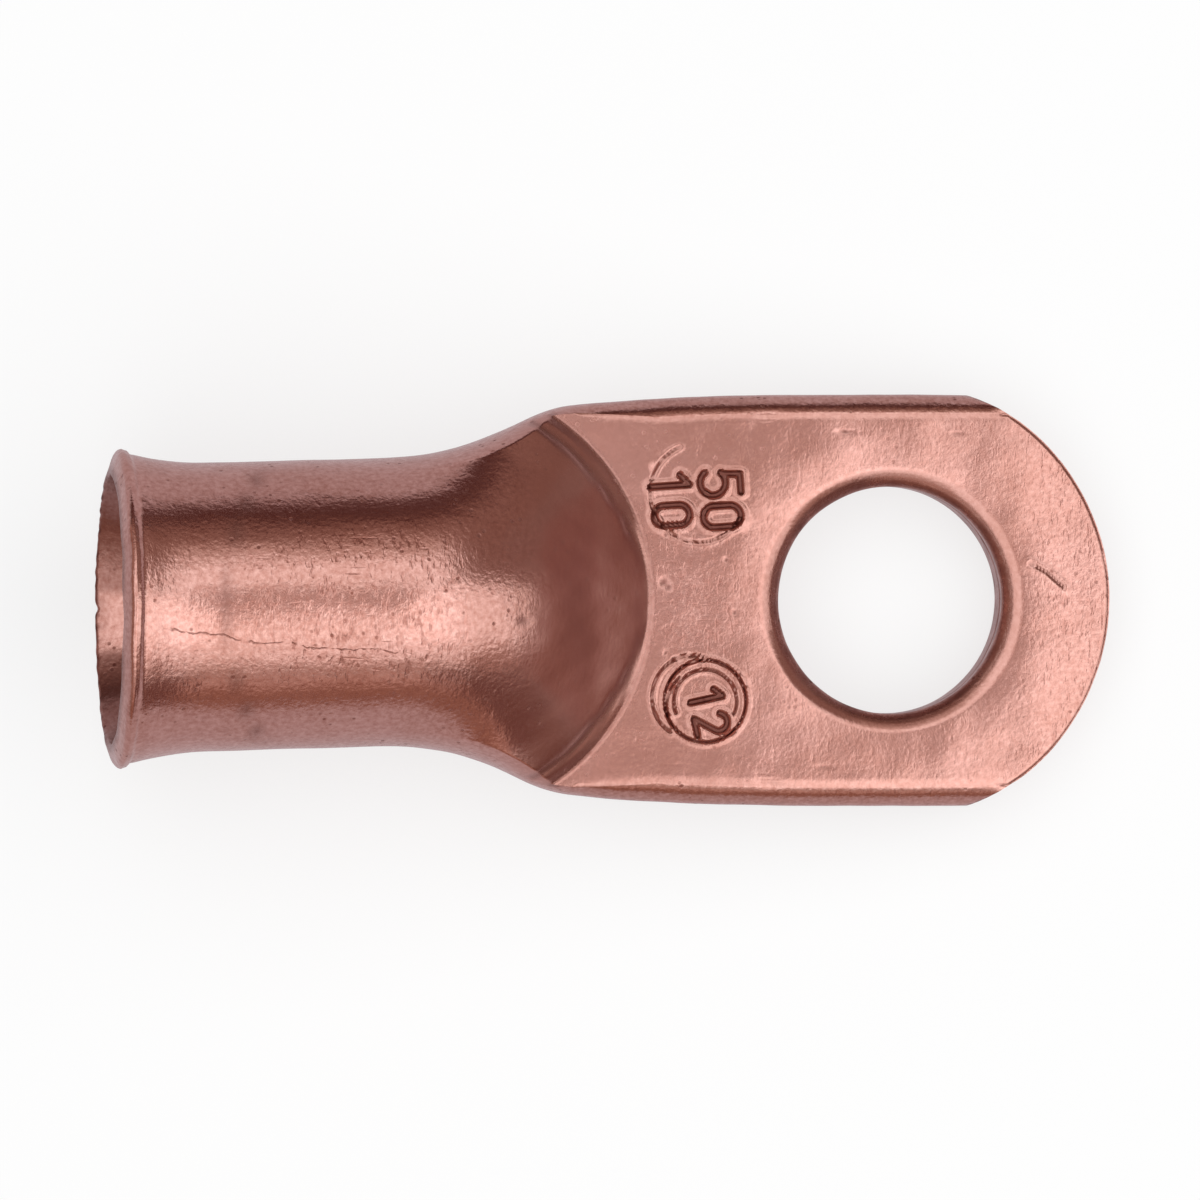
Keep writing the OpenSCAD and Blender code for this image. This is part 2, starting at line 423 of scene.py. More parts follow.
def fold_rows():
    """Turns across the fold from its top edge over the side to its bottom edge."""
    turns = np.append(FOLD_TURNS, FOLD_TURN)
    up = np.repeat([1, -1], [len(turns), len(turns) - 1])
    return np.concatenate([turns[::-1], turns[1:]]), up


def side_grid(side):
    """Folded side of the palm, from the rounded end to the corner of the crescent."""
    from_end = half_turn >= END_ANGLE - ANGLE_SLACK
    size = half_turn[from_end & (half_turn <= CORNER_ANGLE + ANGLE_SLACK)]
    x = np.linspace(EDGE_END_X, EDGE_X, SIDE_POINTS)
    y = side_edge(x, EDGE_X, FOLD_TURN)
    edge_x = np.interp(size, np.degrees(np.arctan2(y, x)), x)
    along = (edge_x - EDGE_X) / (EDGE_END_X - EDGE_X)
    rows = []
    for turn, up in zip(*fold_rows()):
        in_share, up_share = fold_share(turn)
        corner_x = bowed_x(FLAT_X, FLAT_SIDE_X, FLAT_W - FLAT_FOLD * in_share, FLAT_W)
        end_x = np.sqrt(END_R**2 - (PALM_W / 2 - FOLD_W * in_share) ** 2)
        row_x = lerp(corner_x, end_x, along)
        row_y = side_edge(row_x, corner_x, turn) * side
        row_z = np.full(len(size), AXIS_Z + up * up_share * PALM_T / 2)
        rows.append(np.stack([row_x, row_y, row_z], axis=1))
    return np.array(rows)


def end_grid():
    """Sheared face of the rounded end: a true arc about the stud hole."""
    share = np.sort(SIGNED[np.abs(SIGNED) <= END_ANGLE + ANGLE_SLACK]) / END_ANGLE
    rows = []
    for turn, up in zip(*fold_rows()):
        in_share, up_share = fold_share(turn)
        reach = np.degrees(np.arcsin((PALM_W / 2 - FOLD_W * in_share) / END_R))
        angle = share * reach
        row_z = np.full(len(angle), AXIS_Z + up * up_share * PALM_T / 2)
        rows.append(np.stack([END_R * cos(angle), END_R * sin(angle), row_z], axis=1))
    return np.array(rows)


def joined_mesh(name, grids):
    """Mesh from grids of points, each given with whether its rows close on themselves.
    Edges that two grids share are welded, and faces are turned outwards."""
    verts, faces, start = [], [], 0
    for grid, closed in grids:
        rows, cols = grid.shape[:2]
        index = start + np.arange(rows * cols).reshape(rows, cols)
        if closed:
            index = np.concatenate([index, index[:, :1]], axis=1)
        quads = np.stack([index[:-1, :-1], index[1:, :-1], index[1:, 1:], index[:-1, 1:]], axis=-1)
        verts.append(grid.reshape(-1, 3))
        faces.append(quads.reshape(-1, 4))
        start += rows * cols
    mesh = bpy.data.meshes.new(name)
    mesh.from_pydata((np.concatenate(verts) * MM).tolist(), [], np.concatenate(faces).tolist())
    made = bmesh.new()
    made.from_mesh(mesh)
    bmesh.ops.remove_doubles(made, verts=made.verts, dist=WELD * MM)
    bmesh.ops.recalc_face_normals(made, faces=made.faces)
    made.to_mesh(mesh)
    made.free()
    return mesh


# ---------------------------------------------------------------- relief
def bell(distance, width):
    """Bell curve of a distance: 1 at none and about a third at the width, exp(-(d / w)^2)."""
    return np.exp(-((distance / width) ** 2))


def line_distance(p, a, b):
    """Distance from points to the straight stroke between a and b."""
    a, b = np.array(a), np.array(b)
    t = np.clip(((p - a) @ (b - a)) / ((b - a) @ (b - a)), 0, 1)
    return np.linalg.norm(p - a - t[:, None] * (b - a), axis=1)


def arc_distance(p, centre, r, start, sweep):
    """Distance to an arc that starts at an angle and sweeps counter-clockwise."""
    d = p - np.array(centre)
    angle = (np.degrees(np.arctan2(d[:, 1], d[:, 0])) - start) % 360
    on_arc = np.abs(np.linalg.norm(d, axis=1) - r)
    ends = [np.array(centre) + r * np.array([cos(a), sin(a)]) for a in (start, start + sweep)]
    to_ends = np.minimum(*(np.linalg.norm(p - e, axis=1) for e in ends))
    return np.where(angle <= sweep, on_arc, to_ends)


# Strokes of plain numerals, 1 high and about 0.6 wide: lines as two ends, and arcs as
# centre, radius, start and sweep
NUMERALS = {
    "0": [
        ((0.3, 0.7), 0.26, 0, 180),
        ((0.3, 0.3), 0.26, 180, 180),
        ((0.04, 0.3), (0.04, 0.7)),
        ((0.56, 0.3), (0.56, 0.7)),
    ],
    "1": [((0.34, 0.0), (0.34, 1.0)), ((0.34, 1.0), (0.08, 0.78))],
    "2": [((0.3, 0.72), 0.27, -30, 190), ((0.53, 0.58), (0.05, 0.0)), ((0.05, 0.0), (0.58, 0.0))],
    "5": [
        ((0.54, 1.0), (0.1, 1.0)),
        ((0.1, 1.0), (0.07, 0.56)),
        ((0.27, 0.33), 0.31, 215, 283),
    ],
}
NUMERAL_PITCH = 0.8


def stroke_distance(p, stroke):
    """Distance to a numeral's stroke, which is a line of two ends or an arc."""
    return line_distance(p, *stroke) if len(stroke) == 2 else arc_distance(p, *stroke)


# Where the burr of a struck line lies, how wide it is and how high it stands, as shares of
# the flank's width and of the line's depth
BURR_PLACE = 0.9
BURR_WIDTH = 0.7
BURR_RISE = 0.28


def struck(distance, half_line, flank, depth):
    """Groove of a struck line: a flat bottom, sloping flanks and a low burr thrown up.
    Returns its height, and how far down it lies from 0 to 1."""
    groove_and_painted_shade = 1 - smooth(half_line - flank / 2, half_line + flank / 2, distance)
    burr = bell(distance - half_line - BURR_PLACE * flank, BURR_WIDTH * flank)
    return depth * (BURR_RISE * burr - groove_and_painted_shade), groove_and_painted_shade


# Half width, flank and depth of a numeral's stroke, and the same of a ring, whose depth
# each ring gives
NUMERAL_STROKE = (0.12, 0.13, 0.18)
RING_STROKE = (0.05, 0.1)
# A ring as deep as this is as dark as it gets, and no mark reaches further than MARK_REACH
DARK_RING = 0.13
MARK_REACH = 3


def struck_mark(xy, centre, turn, lines, rings):
    """Height and darkness of a struck mark: lines of plain numerals, and rings.
    A line is (text, numeral height, foot along the mark, foot up the mark), and a ring is
    (centre, radius, start, sweep, depth)."""
    turned = np.array([[cos(turn), -sin(turn)], [sin(turn), cos(turn)]])
    local = (xy - np.array(centre)) @ turned
    near = np.linalg.norm(local, axis=1) < MARK_REACH
    local = local[near]
    height, dark = np.zeros(len(local)), np.zeros(len(local))
    for text, size, foot_x, foot_y in lines:
        for i, numeral in enumerate(text):
            p = (local - [foot_x, foot_y]) / size - [NUMERAL_PITCH * i, 0]
            distance = np.min([stroke_distance(p, stroke) for stroke in NUMERALS[numeral]], axis=0)
            stroke_height, groove_and_painted_shade = struck(distance * size, *NUMERAL_STROKE)
            height += stroke_height
            dark = np.maximum(dark, groove_and_painted_shade)
    for ring_centre, r, start, sweep, depth in rings:
        distance = arc_distance(local, ring_centre, r, start, sweep)
        ring_height, groove_and_painted_shade = struck(distance, *RING_STROKE, depth)
        height += ring_height
        dark = np.maximum(dark, groove_and_painted_shade * min(depth / DARK_RING, 1))
    all_height, all_dark = np.zeros(len(xy)), np.zeros(len(xy))
    all_height[near], all_dark[near] = height, dark
    return all_height, all_dark


# An unevenness is the sum of this many sine waves
WAVES = 9


def waves(p, size, seed):
    """Smooth unevenness from -1 to 1: a sum of sine waves in fixed random directions."""
    dice = np.random.default_rng(seed)
    total = np.zeros(len(p))
    for _ in range(WAVES):
        direction = dice.normal(size=3)
        direction /= np.linalg.norm(direction) * size * dice.uniform(0.7, 1.5)
        total += np.sin(2 * np.pi * (p @ direction) + dice.uniform(0, 2 * np.pi))
    return total / (WAVES / 2)


# The press tool struck a wire size and a stud size on one side, and a tool number in a
# ring on the other, where its ring landed twice.
MARKS = [
    (
        (-9.3, 5.1),
        -86,
        [("50", 1.95, -0.95, 0.05), ("10", 1.85, -1.05, -2.3)],
        [((0, 0), 2.35, 200, 215, 0.07)],
    ),
    (
        (-9.0, -4.8),
        -78,
        [("12", 1.55, -0.6, -0.7)],
        [
            ((0, 0), 1.95, 0, 360, 0.15),
            ((0, 0), 1.5, 55, 225, 0.1),
            ((-0.3, -0.5), 2.0, 150, 165, 0.09),
            ((0.15, -0.25), 1.64, 205, 70, 0.1),
        ],
    ),
]
# Small dents from handling: place, radius and depth
DENTS = [
    (-11.0, 0.85, 0.18, 0.09),
    (-10.75, 0.6, 0.16, 0.07),
    (-10.9, -2.5, 0.1, 0.05),
    (-10.5, -2.8, 0.12, 0.06),
    (-10.9, 3.1, 0.1, 0.05),
    (-8.0, 1.9, 0.1, 0.04),
    (-7.6, -0.6, 0.1, 0.04),
    (-2.3, 8.0, 0.12, 0.05),
    (3.2, 7.9, 0.1, 0.04),
    (-3.4, -7.9, 0.13, 0.05),
    (-18.2, -1.0, 0.2, 0.05),
]
# One bent gouge across the rounded end, and the half width, flank and depth of its stroke
GOUGE = [(6.65, 1.75), (7.5, 1.3), (8.3, 0.6)]
GOUGE_STROKE = (0.03, 0.16, 0.13)
# Dents and the gouge hold nearly as much dirt as the struck lines do
DENT_DARK = 0.9


def palm_edges(p, on_top):
    """Height of the flat's edges: the shear breaks the outer edge of the rounded end, and
    the flat rolls over gently where it turns down into the folded sides."""
    to_end = smooth(END_R - 0.25, END_R, np.hypot(p[:, 0], p[:, 1]))
    edge_break = to_end**2 * smooth(-7, -5, p[:, 0])
    past_corner = smooth(EDGE_X + 0.3, EDGE_X + 2.5, p[:, 0])
    to_fold = np.abs(np.abs(p[:, 1]) - side_edge(p[:, 0], EDGE_X, FOLD_TURN))
    roll = past_corner * np.maximum(1 - to_fold / 0.4, 0) ** 2
    return -0.07 * edge_break * on_top - 0.045 * roll


def slope_relief(p, n):
    """The tool's rim leaves a line up the pressed slope, which runs into the crescent in the
    middle. That line and the crease at the slope's foot are painted darker, as shade, and inside
    the crescent the tool has burnished the slope. Returns height, painted shade and burnish."""
    inside = CREASE_R - np.hypot(p[:, 0] - CREASE_X + CREASE_R, p[:, 1])
    from_middle = np.abs(p[:, 1])
    on_slope = (p[:, 2] > AXIS_Z) & (n[:, 2] > 0.3) & (p[:, 0] > CORNER_X - 3)
    line_place = 0.12 + 0.62 * smooth(0.8, 6.5, from_middle)
    tool_line = bell(inside - line_place, 0.16) * on_slope * smooth(0.5, 3.5, from_middle)
    # Painted shade along the tool's line and in the crease at the slope's foot
    crease = bell(inside + 0.08, 0.2) * (p[:, 0] < CREASE_X + 1) * (n[:, 2] > 0.3)
    burnish = on_slope * smooth(-0.2, 0.3, inside) * smooth(CORNER_X - 3, CORNER_X, p[:, 0])
    return -0.06 * tool_line, np.maximum(0.5 * tool_line, 0.45 * crease), burnish


def cut_relief(p, n):
    """The two walls meet in a hairline at the cut end and in the hole's wall. The punch left the
    hole's wall and entry dull, and they are painted darker, partly for that dull finish and partly
    as painted shade inside the hole. Returns height and darkness."""
    r = np.hypot(p[:, 0], p[:, 1])
    cut_end = (np.abs(r - END_R) < 0.01) & (p[:, 0] > 0)
    cut_edge = (np.abs(n[:, 2]) < 0.3) & ((r < HOLE_R + 0.01) | cut_end)
    from_seam = p[:, 2] - AXIS_Z - 0.03 * waves(p * [1, 1, 0], 3.0, 3)
    seam = bell(from_seam, 0.05) * cut_edge
    # The hole's wall and entry: dull punched copper, with painted shade over it
    punched_and_painted_shade = 1 - smooth(HOLE_R + 0.35 * ENTRY_R, HOLE_R + 0.6, r)
    return -0.07 * seam, np.maximum(seam, punched_and_painted_shade * (0.5 + 0.2 * waves(p, 0.9, 6)))


def mouth_relief(p):
    """The rim's lower edge is painted darker in a mottle, as shade, and the bore is painted darker
    as shade, most near the mouth, apart from a lighter patch just inside the mouth, which is a
    painted highlight. A fine bead runs round the outside behind the rim, with a groove behind it.
    Returns height and darkness."""
    from_mouth = p[:, 0] - MOUTH_X
    off_axis = np.hypot(p[:, 1], p[:, 2] - AXIS_Z)
    # Painted shade along the rim's lower edge, mottled
    lower_rim = (1 - smooth(0.05, 0.35, from_mouth)) * smooth(0.5, -2, p[:, 2] - AXIS_Z)
    lower_rim_shade = lower_rim * np.clip(0.55 + 0.6 * waves(p, 0.5, 7), 0, 1)
    inner_r = BORE_R + 0.35 + FLARE_RISE * (1 - smooth(0, FLARE_LEN, from_mouth))
    in_bore = (off_axis < inner_r) & (p[:, 0] < PRESS_X)
    # Painted shade in the bore, strongest near the mouth, lifted by a painted highlight just
    # inside the mouth
    bore_highlight = smooth(-2.3, -1.6, p[:, 1]) * (1 - smooth(0.4, 1.1, p[:, 1]))
    bore_shade = 0.25 + 0.35 * (1 - smooth(1.5, 3, from_mouth)) * (1 - bore_highlight)
    outside = ~in_bore & (p[:, 0] < PRESS_X)
    bead = outside * (0.03 + 0.015 * waves(p, 2.0, 8))
    height = bead * (bell(from_mouth - 0.6, 0.16) - bell(from_mouth - 0.95, 0.16))
    return height, np.maximum(lower_rim_shade, (bore_shade - 0.2 * bore_highlight) * in_bore)


def struck_relief(p, n, on_top):
    """Height and darkness of the struck marks, the dents and the gouge."""
    xy = p[:, :2]
    height, dark = np.zeros(len(p)), np.zeros(len(p))
    for mark in MARKS:
        mark_height, mark_dark = struck_mark(xy, *mark)
        height += mark_height * on_top
        dark = np.maximum(dark, mark_dark * on_top)
    for x, y, dent_r, depth in DENTS:
        dent = bell(np.hypot(p[:, 0] - x, p[:, 1] - y), dent_r) * (n[:, 2] > 0.7)
        height -= depth * dent
        dark = np.maximum(dark, DENT_DARK * dent)
    to_gouge = np.minimum(*(line_distance(xy, a, b) for a, b in zip(GOUGE, GOUGE[1:])))
    gouge, gouge_dark = struck(to_gouge, *GOUGE_STROKE)
    return height + gouge * on_top, np.maximum(dark, DENT_DARK * gouge_dark * on_top)


def battered_share(p, on_top):
    """Where other parts knocked the lug in the tumbler, from 0 to 1: on the tube's crown, on
    the flat by the crescent, and less at the flat's end."""
    crown = smooth(-33, -28, p[:, 0]) * (1 - smooth(-24, -20, p[:, 0]))
    crown *= smooth(AXIS_Z + 5.4, AXIS_Z + 6.5, p[:, 2])
    foot = on_top * bell(p[:, 0] + 9.6, 1.7) * bell(p[:, 1], 4.5)
    end = on_top * smooth(5.5, 8, p[:, 0])
    return np.maximum(crown, np.maximum(foot, 0.4 * end))


def relief(p, n):
    """Height to add along the normal, how dark it is painted (dirt in its grooves, dents and
    seams, and painted shade at the slope's crease, the stud hole, the bore, the rim and over the
    palm), how far the press tool has burnished it, and where other parts have battered it in the
    tumbler."""
    on_top = (n[:, 2] > 0.7) & (np.abs(p[:, 2] - PALM_T) < 0.02)
    on_bottom = (n[:, 2] < -0.7) & (np.abs(p[:, 2]) < 0.02)
    slope_height, slope_painted_shade, burnish = slope_relief(p, n)
    cut_height, cut_dark = cut_relief(p, n)
    mouth_height, mouth_painted_shade = mouth_relief(p)
    struck_height, struck_dark = struck_relief(p, n, on_top)

    # The whole skin swells and ripples a little, but its underside is never pushed out
    height = 0.026 * waves(p, 5.0, 1) + 0.007 * waves(p, 1.6, 2)
    height += palm_edges(p, on_top) + slope_height + cut_height + mouth_height + struck_height
    height = np.where(on_bottom, np.minimum(height, 0), height)

    # The press flattened the palm smoother than the tube, and the palm's top by the marks is
    # painted a little darker, as shade
    battered = battered_share(p, on_top)
    burnish = np.maximum(burnish, 0.65 * on_top * (1 - battered))
    film_and_painted_shade = smooth(-4.5, -8.5, p[:, 0]) * (0.16 + 0.05 * waves(p, 3.0, 9)) * on_top
    # Darkness: dirt in the struck lines, dents, gouge and seams, and painted shade at the slope,
    # in the hole, in the bore, at the rim and on the palm
    dark = np.max([slope_painted_shade, cut_dark, mouth_painted_shade, struck_dark, film_and_painted_shade], axis=0)
    return height, dark, burnish, battered


def cut_rim(p):
    """Moves the rim along X. It was cut square to its flared wall, so its outer edge stands
    back, by the tangent of the slant. It was cut roughly and tumbled: it wavers, and its
    lower edge is ragged and nicked."""
    rim = 1 - smooth(MOUTH_X + 0.1, MOUTH_X + 1.2, p[:, 0])
    past_inner_edge = np.hypot(p[:, 1], p[:, 2] - AXIS_Z) - BARREL_R - FLARE_RISE + RIM_WALL
    p[:, 0] += rim * np.clip(past_inner_edge, 0, RIM_WALL) * tan(RIM_SLANT)
    ragged = smooth(0, -4, p[:, 2] - AXIS_Z) * (0.03 * waves(p * [0, 1, 1], 0.6, 5))
    nick = 0.12 * bell(p[:, 1], 0.2) * (p[:, 2] < AXIS_Z)
    p[:, 0] += rim * (0.03 * waves(p * [0, 1, 1], 2.2, 4) + ragged + nick)


def draw_hole(p):
    """Moves the flat's top down round the stud hole, where the punch drew it into a dish with
    a soft brim: a smooth step at the hole's edge and a low bell round it."""
    to_hole = np.hypot(p[:, 0], p[:, 1]) - HOLE_R
    dish = DRAWN * (1 - smooth(0, DRAWN_RUN, to_hole)) + 0.1 * bell(to_hole, 1.5)
    p[:, 2] -= dish * smooth(AXIS_Z + 0.1, PALM_T, p[:, 2]) * (p[:, 0] > MOUTH_X / 2)


def lug_mesh():
    """The whole lug as one closed skin: its grids are welded, its relief is added along the
    normals, and then it is cut, drawn and bent as the real one came out of the press."""
    grids = [
        (tube_grid(), True),
        (palm_grid(), True),
        (side_grid(1), False),
        (side_grid(-1), False),
        (end_grid(), False),
    ]
    mesh = joined_mesh("lug_skin", grids)
    count = len(mesh.vertices)
    p, n = np.empty(count * 3), np.empty(count * 3)
    mesh.vertices.foreach_get("co", p)
    mesh.vertex_normals.foreach_get("vector", n)
    p, n = p.reshape(-1, 3) / MM, n.reshape(-1, 3)
    height, dark, burnish, battered = relief(p, n)
    p += n * height[:, None]
    cut_rim(p)
    draw_hole(p)
    # The tube came out of the press leaning a little
    p[:, 1] -= soft_max(LEAN_X - p[:, 0], 0, LEAN_BLEND) * tan(LEAN)
    # The palm sprang up a little in its middle when the press let go
    p[:, 2] += PALM_BOW * np.maximum(1 - ((p[:, 0] - BOW_X) / (END_R - BOW_X)) ** 2, 0)
    mesh.vertices.foreach_set("co", (p * MM).ravel())
    # The darkness holds dirt in the grooves and painted shade
    for name, values in (("groove_and_painted_shade", dark), ("burnish", burnish), ("battered", battered)):
        mesh.attributes.new(name, "FLOAT", "POINT").data.foreach_set("value", values)
    mesh.shade_smooth()
    mesh.set_sharp_from_angle(angle=np.radians(SHARP_ANGLE))
    mesh.update()
    return mesh


# ---------------------------------------------------------------- materials
def linear(hex_colour):
    """Linear RGBA from an sRGB hex value."""
    c = np.array([int(hex_colour[i : i + 2], 16) for i in (1, 3, 5)]) / 255
    return (*np.where(c <= 0.04045, c / 12.92, ((c + 0.055) / 1.055) ** 2.4), 1.0)


def add(tree, kind, inputs=(), **settings):
    """Adds a node. Settings are its properties. Inputs go by name or by number, and each is
    a plain value or the output of another node that feeds it."""
    node = tree.nodes.new(kind)
    for key, value in settings.items():
        setattr(node, key, value)
    for key, value in dict(inputs).items():
        if isinstance(value, bpy.types.NodeSocket):
            tree.links.new(value, node.inputs[key])
        else:
            node.inputs[key].default_value = value
    return node


# How far apart the pits lie, and how high the grain of the bump stands
PIT_APART = 0.55
GRAIN_HEIGHT = 0.02


def copper_grains(tree, place):
    """The grains of the tumbled surface by name. Each is a noise of a real size, of which only
    a part counts. The finest are drawn about twice as coarse as they are, so that they show."""
    grains = {}
    # Name, size in millimetres, detail, stretch, the part of the noise that counts, and what
    # that part is turned into
    for name, size, detail, stretch, a, b, to_a, to_b in (
        ("tone", 4.0, 3, (1, 1, 1), 0.35, 0.68, 0, 1),
        ("speckle", 0.24, 4, (1, 1, 1), 0.32, 0.68, -0.5, 0.5),
        ("pebble", 0.22, 2, (1, 1, 1), 0, 1, 0, 1),
        ("lumps", 1.1, 2, (1, 1, 1), 0, 1, 0, 1),
        ("rubs_across", 0.26, 2, (1.2, 0.4, 0.4), 0.55, 0.7, 0, 1),
        ("rubs_along", 0.4, 2, (0.25, 1.2, 1.2), 0.64, 0.8, 0, 1),
        ("pitted_patches", 2.2, 2, (1, 1, 1), 0.5, 0.6, 0, 1),
        ("wander", 1.5, 3, (1, 1, 1), 0.3, 0.7, -0.2 * MM, 0.2 * MM),
        ("broken", 0.7, 2, (1, 1, 1), 0.4, 0.5, 0, 1),
    ):
        spread = add(tree, "ShaderNodeMapping", {"Vector": place, "Scale": stretch}).outputs[0]
        noise = {"Vector": spread, "Scale": 1 / (size * MM), "Detail": detail, "Roughness": 0.55}
        fac = add(tree, "ShaderNodeTexNoise", noise).outputs["Fac"]
        span = {"Value": fac, "From Min": a, "From Max": b, "To Min": to_a, "To Max": to_b}
        grains[name] = add(tree, "ShaderNodeMapRange", span).outputs[0]
    return grains


def drawn_hairline(tree, place, grains):
    """The drawing die left one hairline along the tube: a thin band about a straight line that
    drifts across the barrel, wanders and breaks up. It shows on the upper side only, from near
    the mouth to the press."""
    x, y, z = add(tree, "ShaderNodeSeparateXYZ", {0: place}).outputs
    run = {0: x, 1: -HAIRLINE_SLOPE, 2: y}
    off_line = add(tree, "ShaderNodeMath", run, operation="MULTIPLY_ADD").outputs[0]
    for shift in (grains["wander"], -HAIRLINE_Y * MM):
        shifted = {0: off_line, 1: shift}
        off_line = add(tree, "ShaderNodeMath", shifted, operation="ADD").outputs[0]
    off_line = add(tree, "ShaderNodeMath", {0: off_line}, operation="ABSOLUTE").outputs[0]
    hairline = grains["broken"]
    # Each distance, where it lets none of the hairline through, and where all of it
    for value, none, full in (
        (off_line, 0.05, 0.015),
        (z, AXIS_Z, AXIS_Z + 1),
        (x, PRESS_X + 1, PRESS_X),
        (x, MOUTH_X + 1.6, MOUTH_X + 2.2),
    ):
        span = {"Value": value, "From Min": none * MM, "From Max": full * MM}
        share = add(tree, "ShaderNodeMapRange", span).outputs[0]
        both = {0: hairline, 1: share}
        hairline = add(tree, "ShaderNodeMath", both, operation="MULTIPLY").outputs[0]
    return hairline


def tumbled_copper():
    """Annealed copper tube, pressed and then tumbled bright: a satin metal with a fine pebbled
    grain, short rubs, and pits where the grit struck. The colour wanders between pink and brown,
    pits and struck grooves hold a dark film, and painted shade darkens the slope's crease, the
    stud hole, the bore, the rim and part of the palm."""
    material = bpy.data.materials.new("tumbled_copper")
    material.use_nodes = True
    tree = material.node_tree
    shader = tree.nodes["Principled BSDF"]
    shader.inputs["Metallic"].default_value = 1.0
    place = add(tree, "ShaderNodeTexCoord").outputs["Object"]
    # Darkness from the skin: dirt in its grooves and painted shade
    groove_and_painted_shade = add(tree, "ShaderNodeAttribute", attribute_name="groove_and_painted_shade").outputs["Fac"]
    burnish = add(tree, "ShaderNodeAttribute", attribute_name="burnish").outputs["Fac"]
    battered = add(tree, "ShaderNodeAttribute", attribute_name="battered").outputs["Fac"]
    # How much of the grain the press tool left, and how much of it is rubbed
    bare = {0: burnish, 1: -0.8, 2: 1.0}
    bare = add(tree, "ShaderNodeMath", bare, operation="MULTIPLY_ADD").outputs[0]
    worn = {0: battered, 1: 1.3, 2: 0.45}
    worn = add(tree, "ShaderNodeMath", worn, operation="MULTIPLY_ADD").outputs[0]
    grains = copper_grains(tree, place)
    hairline = drawn_hairline(tree, place, grains)

    # The speckle stays near its middle where the tool has burnished the slope
    spots = {0: grains["speckle"], 1: bare, 2: 0.5}
    speckle = add(tree, "ShaderNodeMath", spots, operation="MULTIPLY_ADD").outputs[0]
    pebble = {0: grains["pebble"], 1: bare}
    pebble = add(tree, "ShaderNodeMath", pebble, operation="MULTIPLY").outputs[0]
    lumps = {0: grains["lumps"], 1: bare}
    lumps = add(tree, "ShaderNodeMath", lumps, operation="MULTIPLY").outputs[0]
    rubs = {0: grains["rubs_across"], 1: grains["rubs_along"]}
    rubs = add(tree, "ShaderNodeMath", rubs, operation="MAXIMUM").outputs[0]
    for share in (bare, worn):
        rubs = add(tree, "ShaderNodeMath", {0: rubs, 1: share}, operation="MULTIPLY").outputs[0]

    # A pit lies at the middle of each cell, about half a millimetre apart in the patches
    cells = add(tree, "ShaderNodeTexVoronoi", {"Vector": place, "Scale": 1 / (PIT_APART * MM)})
    span = {"Value": cells.outputs["Distance"], "From Min": 0.22, "From Max": 0.1}
    pit = add(tree, "ShaderNodeMapRange", span).outputs[0]
    for share in (grains["pitted_patches"], bare):
        pit = add(tree, "ShaderNodeMath", {0: pit, 1: share}, operation="MULTIPLY").outputs[0]

    # Colour: the tone, dark and light speckle, and then each film over what lies under it, the
    # last of which also lays on painted shade
    tones = {0: grains["tone"], 6: linear("#C48E80"), 7: linear("#CF9B8F")}
    tone = add(tree, "ShaderNodeMix", tones, data_type="RGBA").outputs[2]
    brown = {0: 0.26, 6: tone, 7: linear("#8E5046")}
    brown = add(tree, "ShaderNodeMix", brown, data_type="RGBA").outputs[2]
    pink = {0: 0.22, 6: tone, 7: linear("#F3CBC4")}
    pink = add(tree, "ShaderNodeMix", pink, data_type="RGBA").outputs[2]
    flecks = {0: speckle, 6: brown, 7: pink}
    colour = add(tree, "ShaderNodeMix", flecks, data_type="RGBA").outputs[2]
    for film_and_painted_shade, share, strength in (
        ("#7A4236", pit, 0.75),
        ("#8A5044", rubs, 0.3),
        ("#6B382E", hairline, 0.5),
        # Dirt in the struck lines, dents and gouge, and painted shade in the crease, the stud
        # hole, the bore, at the rim and over the palm
        ("#54241C", groove_and_painted_shade, 0.85),
    ):
        cover = {0: share, 1: strength}
        cover = add(tree, "ShaderNodeMath", cover, operation="MULTIPLY").outputs[0]
        layer = {0: cover, 6: colour, 7: linear(film_and_painted_shade)}
        colour = add(tree, "ShaderNodeMix", layer, data_type="RGBA").outputs[2]
    tree.links.new(colour, shader.inputs["Base Color"])

    # Satin, smoother on the light flecks and rougher in the pits, the grooves and where shade is
    # painted
    rough = 0.26
    for share, amount in ((speckle, -0.07), (pit, 0.2), (groove_and_painted_shade, 0.15)):
        more = {0: share, 1: amount, 2: rough}
        rough = add(tree, "ShaderNodeMath", more, operation="MULTIPLY_ADD").outputs[0]
    tree.links.new(rough, shader.inputs["Roughness"])

    height = 0.0
    for share, amount in ((pebble, 1), (lumps, 0.8), (pit, -0.6), (hairline, -1), (rubs, -0.5)):
        more = {0: share, 1: amount, 2: height}
        height = add(tree, "ShaderNodeMath", more, operation="MULTIPLY_ADD").outputs[0]
    grain = {"Height": height, "Strength": 0.8, "Distance": GRAIN_HEIGHT * MM}
    bump = add(tree, "ShaderNodeBump", grain)
    tree.links.new(bump.outputs[0], shader.inputs["Normal"])
    return material


# How much of the table's white is its own
OWN_WHITE = 0.68


